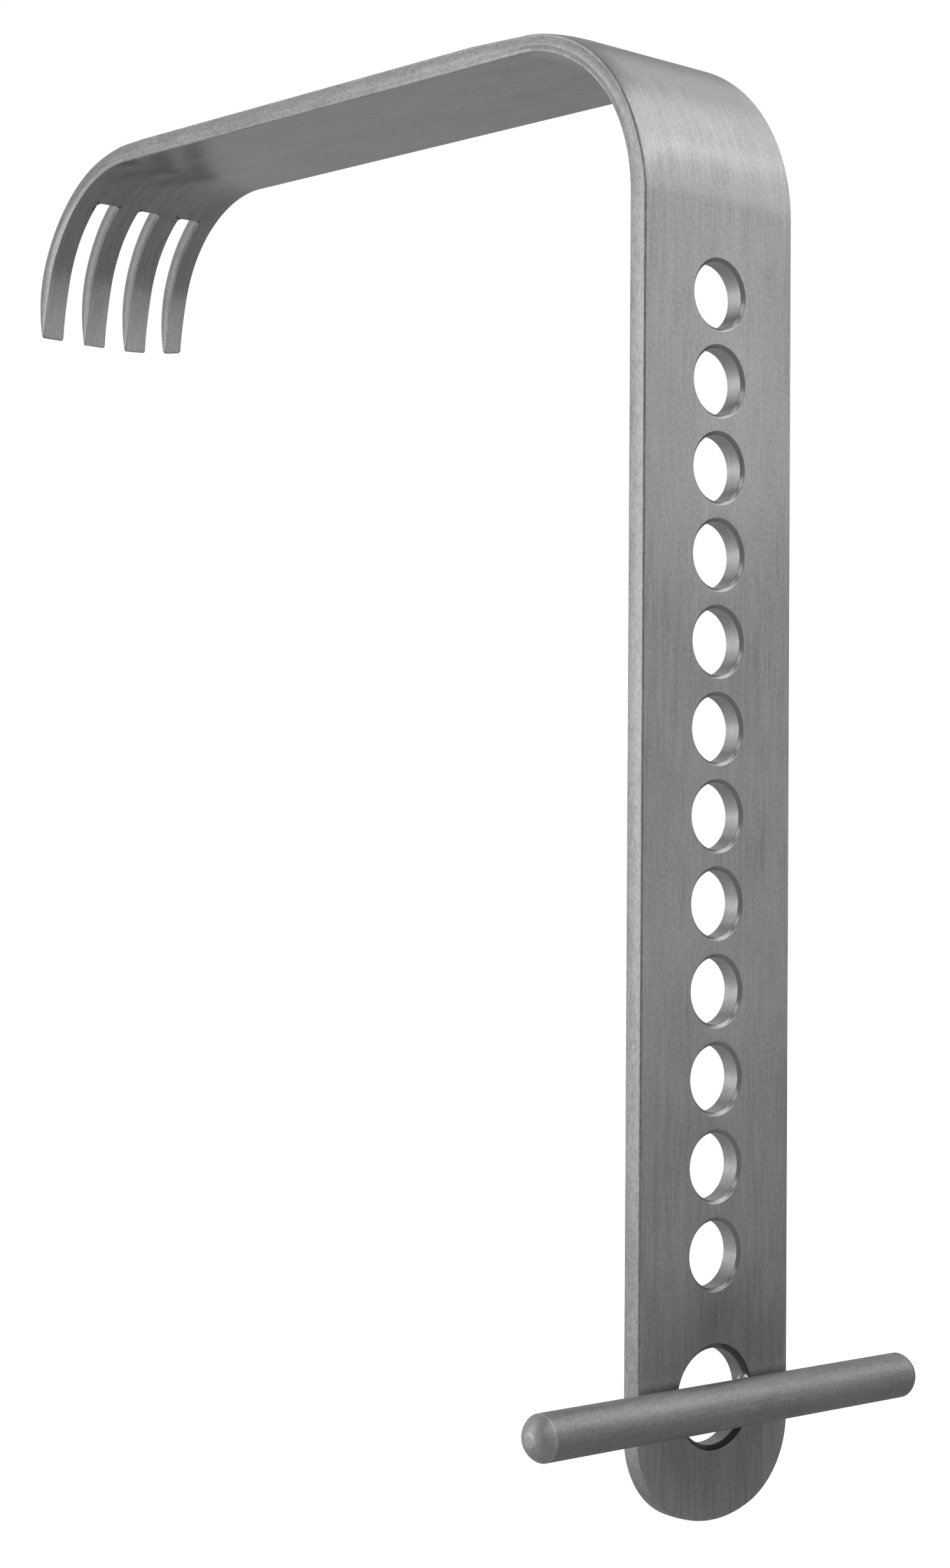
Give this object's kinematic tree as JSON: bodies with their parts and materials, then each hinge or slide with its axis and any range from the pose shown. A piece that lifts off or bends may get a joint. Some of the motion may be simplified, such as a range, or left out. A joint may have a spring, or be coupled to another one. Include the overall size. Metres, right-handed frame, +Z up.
{
  "type": "hip retractor",
  "caption": "Flat steel strap bent twice into a deep hook, with a slotted rake at its tip, a row of holes down its long arm and a crossbar across its round end.",
  "frame": {"origin": "middle of the row of twelve holes, on the front face of the long arm", "axes": "+Z up the long arm towards the first bend, +Y the way the upper arm and its rake reach, +X across the strap to its right as seen from the front; the crossbar lies on the -Y side"},
  "size_m": [0.0981, 0.2114, 0.2809],
  "materials": {
    "brushed_blade": "fine brushed",
    "satin_bar": "satin turned",
    "weld_metal": "bright, as welded"
  },
  "bodies": {
    "root": {"blade": "brushed_blade", "crossbar": "satin_bar", "weld_left": "weld_metal", "weld_right": "weld_metal"}
  },
  "joints": []
}
